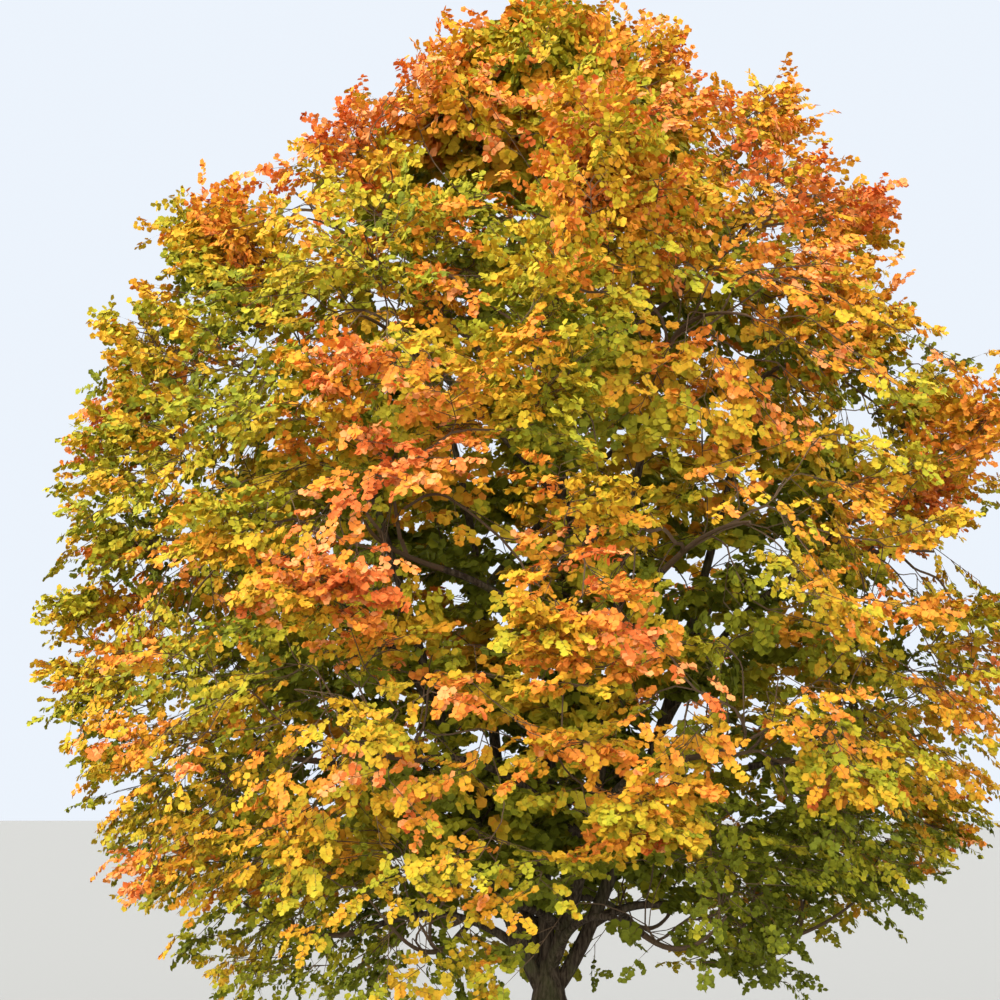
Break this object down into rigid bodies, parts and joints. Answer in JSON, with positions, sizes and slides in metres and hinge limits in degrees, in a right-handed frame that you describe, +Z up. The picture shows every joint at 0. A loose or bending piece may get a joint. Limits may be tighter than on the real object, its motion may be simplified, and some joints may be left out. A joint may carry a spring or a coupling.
{
  "type": "katsura tree",
  "caption": "Broad-crowned katsura tree in autumn leaf: a short trunk that forks low into rising limbs, arching boughs and layered masses of orange, gold and green foliage.",
  "frame": {"origin": "middle of the flat cut under the trunk, at ground level", "axes": "+Z up the trunk, +X to the right and +Y away from the viewer as the picture shows the tree"},
  "size_m": [9.8994, 9.8655, 11.196],
  "materials": {
    "bark": "rough dark brown bark with grey plates",
    "foliage_green": "matt olive green autumn leaves",
    "foliage_gold": "matt gold and yellow autumn leaves",
    "foliage_orange": "matt orange autumn leaves",
    "foliage_red": "matt red-orange autumn leaves"
  },
  "bodies": {
    "root": {"back_limb": "bark", "front_limb": "bark", "high_foliage_1": "foliage_orange", "high_foliage_2": "foliage_orange", "high_foliage_3": "foliage_orange", "high_foliage_4": "foliage_orange", "high_foliage_5": "foliage_orange", "left_limb": "bark", "low_bough_1": "bark", "low_bough_2": "bark", "low_bough_3": "bark", "low_bough_4": "bark", "low_bough_5": "bark", "low_bough_6": "bark", "low_foliage_1": "foliage_green", "low_foliage_2": "foliage_green", "low_foliage_3": "foliage_gold", "low_foliage_4": "foliage_gold", "low_foliage_5": "foliage_gold", "low_foliage_6": "foliage_green", "lower_bough_1": "bark", "lower_bough_2": "bark", "lower_bough_3": "bark", "lower_bough_4": "bark", "lower_bough_5": "bark", "lower_bough_6": "bark", "lower_foliage_1": "foliage_orange", "lower_foliage_2": "foliage_orange", "lower_foliage_3": "foliage_orange", "lower_foliage_4": "foliage_orange", "lower_foliage_5": "foliage_orange", "lower_foliage_6": "foliage_orange", "middle_bough_1": "bark", "middle_bough_2": "bark", "middle_bough_3": "bark", "middle_bough_4": "bark", "middle_bough_5": "bark", "middle_bough_6": "bark", "middle_bough_7": "bark", "middle_foliage_1": "foliage_orange", "middle_foliage_2": "foliage_orange", "middle_foliage_3": "foliage_orange", "middle_foliage_4": "foliage_orange", "middle_foliage_5": "foliage_green", "middle_foliage_6": "foliage_green", "middle_foliage_7": "foliage_orange", "right_limb": "bark", "top_foliage_1": "foliage_orange", "top_foliage_2": "foliage_orange", "top_foliage_3": "foliage_orange", "trunk": "bark", "upper_bough_2": "bark", "upper_bough_5": "bark", "upper_foliage_1": "foliage_gold", "upper_foliage_2": "foliage_gold", "upper_foliage_3": "foliage_gold", "upper_foliage_4": "foliage_red", "upper_foliage_5": "foliage_gold", "upper_foliage_6": "foliage_gold"}
  },
  "joints": []
}
